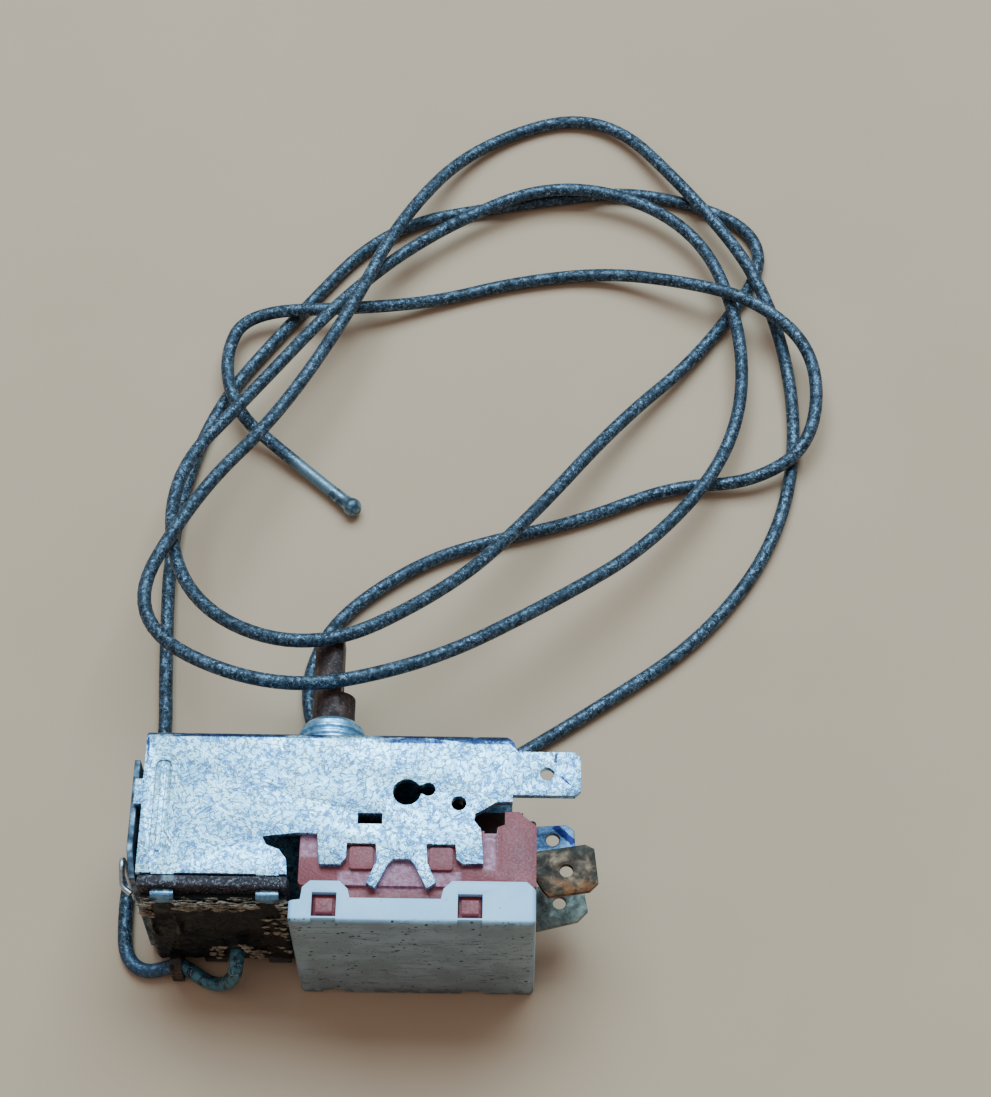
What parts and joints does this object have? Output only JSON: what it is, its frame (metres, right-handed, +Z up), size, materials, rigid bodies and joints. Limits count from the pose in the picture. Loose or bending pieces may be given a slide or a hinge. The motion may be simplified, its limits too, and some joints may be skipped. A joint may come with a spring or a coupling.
{
  "type": "capillary refrigerator thermostat",
  "caption": "Capillary thermostat: U-shaped plated frame with bushing and D-shaft, bellows with a long coiled sensing tube, plastic switch with blade terminals.",
  "frame": {"origin": "middle of the body's footprint without its sensing tube, on the surface it lies on", "axes": "+Y along the control shaft, out of the mounting face; +X towards the blade terminals; +Z up, out of the side plate it does not lie on"},
  "size_m": [0.1019, 0.155, 0.026],
  "materials": {
    "zinc": "bright zinc plating, spangled",
    "bright_steel": "plain bright steel",
    "bushing_zinc": "turned, zinc plated",
    "rusty_shaft": "rusted",
    "rusty_cup": "dark, pitted rust",
    "sealant": "greasy black compound",
    "bellows_metal": "formed bronze sheet",
    "phenolic": "moulded phenolic",
    "pin_plastic": "plain",
    "cap_plastic": "satin, soiled on the front",
    "tarnished_brass": "tarnished and rusty",
    "oxidised_zinc": "dull dark oxide",
    "contact_metal": "plain",
    "capillary": "mottled grey oxide",
    "solder": "tinned, shiny"
  },
  "bodies": {
    "housing": {"frame": "zinc", "screw_block": "zinc", "range_screw": "bright_steel", "differential_screw": "bright_steel", "end_plate": "zinc", "wire_hook": "bright_steel", "bellows_cup": "rusty_cup", "cup_sealant": "sealant", "capillary_ferrule": "sealant", "capillary_clip": "sealant", "bellows": "bellows_metal", "bushing": "bushing_zinc", "spring_washer": "bright_steel", "range_post": "bright_steel", "range_spring": "bright_steel", "lever_pin": "bright_steel", "fixed_contact": "contact_metal", "terminal_zinc": "zinc", "terminal_brown": "tarnished_brass", "terminal_grey": "oxidised_zinc", "terminal_rivets": "contact_metal", "switch_base": "phenolic", "switch_cap": "cap_plastic", "capillary_tube": "capillary", "capillary_tip": "solder"},
    "spindle": {"shaft": "rusty_shaft", "cam": "bright_steel", "shaft_clip": "bright_steel"},
    "range_arm": {"range_lever": "bright_steel"},
    "lever": {"main_lever": "bright_steel"},
    "stud": {"bellows_stud": "bright_steel"},
    "pusher": {"push_pin": "pin_plastic"},
    "blade": {"snap_blade": "contact_metal", "moving_contact": "contact_metal", "toggle_spring": "bright_steel"}
  },
  "joints": [
    {"name": "shaft_turn", "type": "hinge", "parent": "housing", "child": "spindle", "pos_m": [-0.0052, 0.00305, 0.013], "axis": [0, 1, 0], "range_deg": [0, 270]},
    {"name": "range_arm_swing", "type": "hinge", "parent": "housing", "child": "range_arm", "pos_m": [-0.013, -0.00135, 0.02], "axis": [0, 1, 0], "range_deg": [0, 9.9], "deforming": ["range_spring"]},
    {"name": "lever_swing", "type": "hinge", "parent": "housing", "child": "lever", "pos_m": [-0.0259, -0.00505, 0.013], "axis": [0, 0, 1], "range_deg": [0, 3.45], "deforming": ["range_spring"]},
    {"name": "stud_slide", "type": "slide", "parent": "housing", "child": "stud", "axis": [0, 1, 0], "range_m": [0, 0.0005], "deforming": ["bellows"]},
    {"name": "push_pin_slide", "type": "slide", "parent": "housing", "child": "pusher", "axis": [0, 1, 0], "range_m": [0, 0.00152]},
    {"name": "blade_swing", "type": "hinge", "parent": "housing", "child": "blade", "pos_m": [0.01685, -0.01125, 0.013], "axis": [0, 0, 1], "range_deg": [-4.9, 0]}
  ],
  "couplings": [
    {"joint": "range_arm_swing", "follows": "shaft_turn", "ratio": 0.0363},
    {"joint": "stud_slide", "follows": "lever_swing", "m_per_rad": 0.008},
    {"joint": "push_pin_slide", "follows": "lever_swing", "m_per_rad": 0.025},
    {"joint": "blade_swing", "follows": "lever_swing", "ratio": -1.4084}
  ]
}
